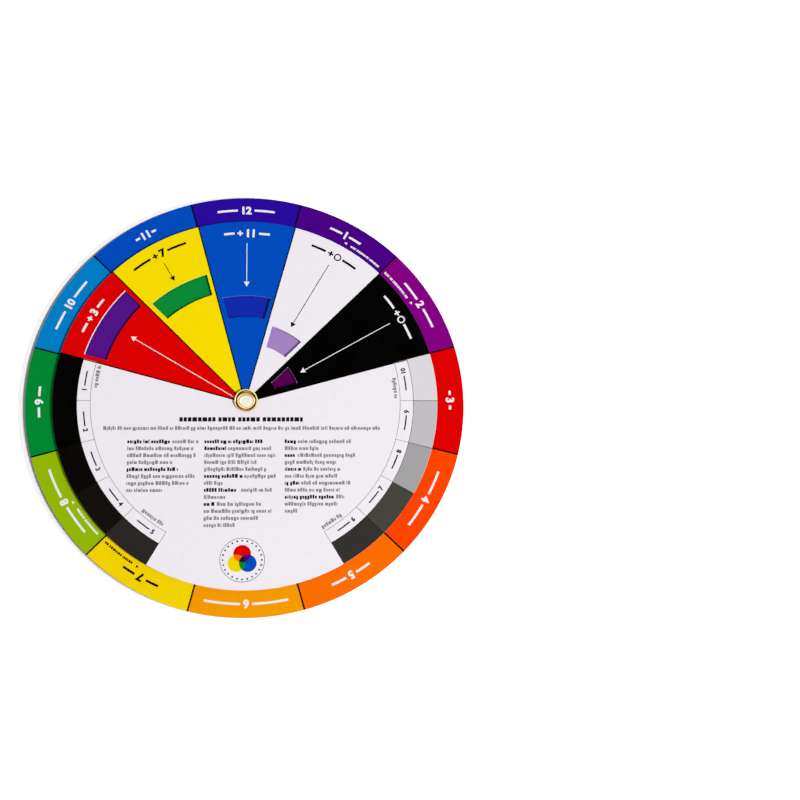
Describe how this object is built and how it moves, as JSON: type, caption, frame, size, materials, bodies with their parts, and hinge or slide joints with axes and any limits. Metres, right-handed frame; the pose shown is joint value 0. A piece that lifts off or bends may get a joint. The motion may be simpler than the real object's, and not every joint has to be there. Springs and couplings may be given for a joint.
{
  "type": "colour mixing wheel",
  "caption": "Two-sided colour mixing wheel: a round printed card between two smaller and windowed card dials that turn on one brass eyelet.",
  "frame": {"origin": "on the hub axis, in the plane that the wheel lies on", "axes": "+Z along the hub axis, out of the front with the hue ring; +Y to the top of the front print, where the blue wedge points"},
  "size_m": [0.2367, 0.235, 0.005],
  "materials": {
    "hue_ring_print": "laminated card, printed with twelve hues on both sides, semi-gloss",
    "front_dial_print": "laminated white card with coloured wedges and a grey scale, semi-gloss",
    "back_dial_print": "laminated white card with grey line figures, semi-gloss",
    "brass": "pressed and polished"
  },
  "bodies": {
    "disc": {"colour_disc": "hue_ring_print", "eyelet": "brass"},
    "front_dial_body": {"front_dial": "front_dial_print"},
    "back_dial_body": {"back_dial": "back_dial_print"}
  },
  "joints": [
    {"name": "front_dial_turn", "type": "hinge", "parent": "disc", "child": "front_dial_body", "pos_m": [0, 0, 0.0034], "axis": [0, 0, 1], "continuous": true},
    {"name": "back_dial_turn", "type": "hinge", "parent": "disc", "child": "back_dial_body", "pos_m": [0, 0, 0.0016], "axis": [0, 0, 1], "continuous": true}
  ]
}
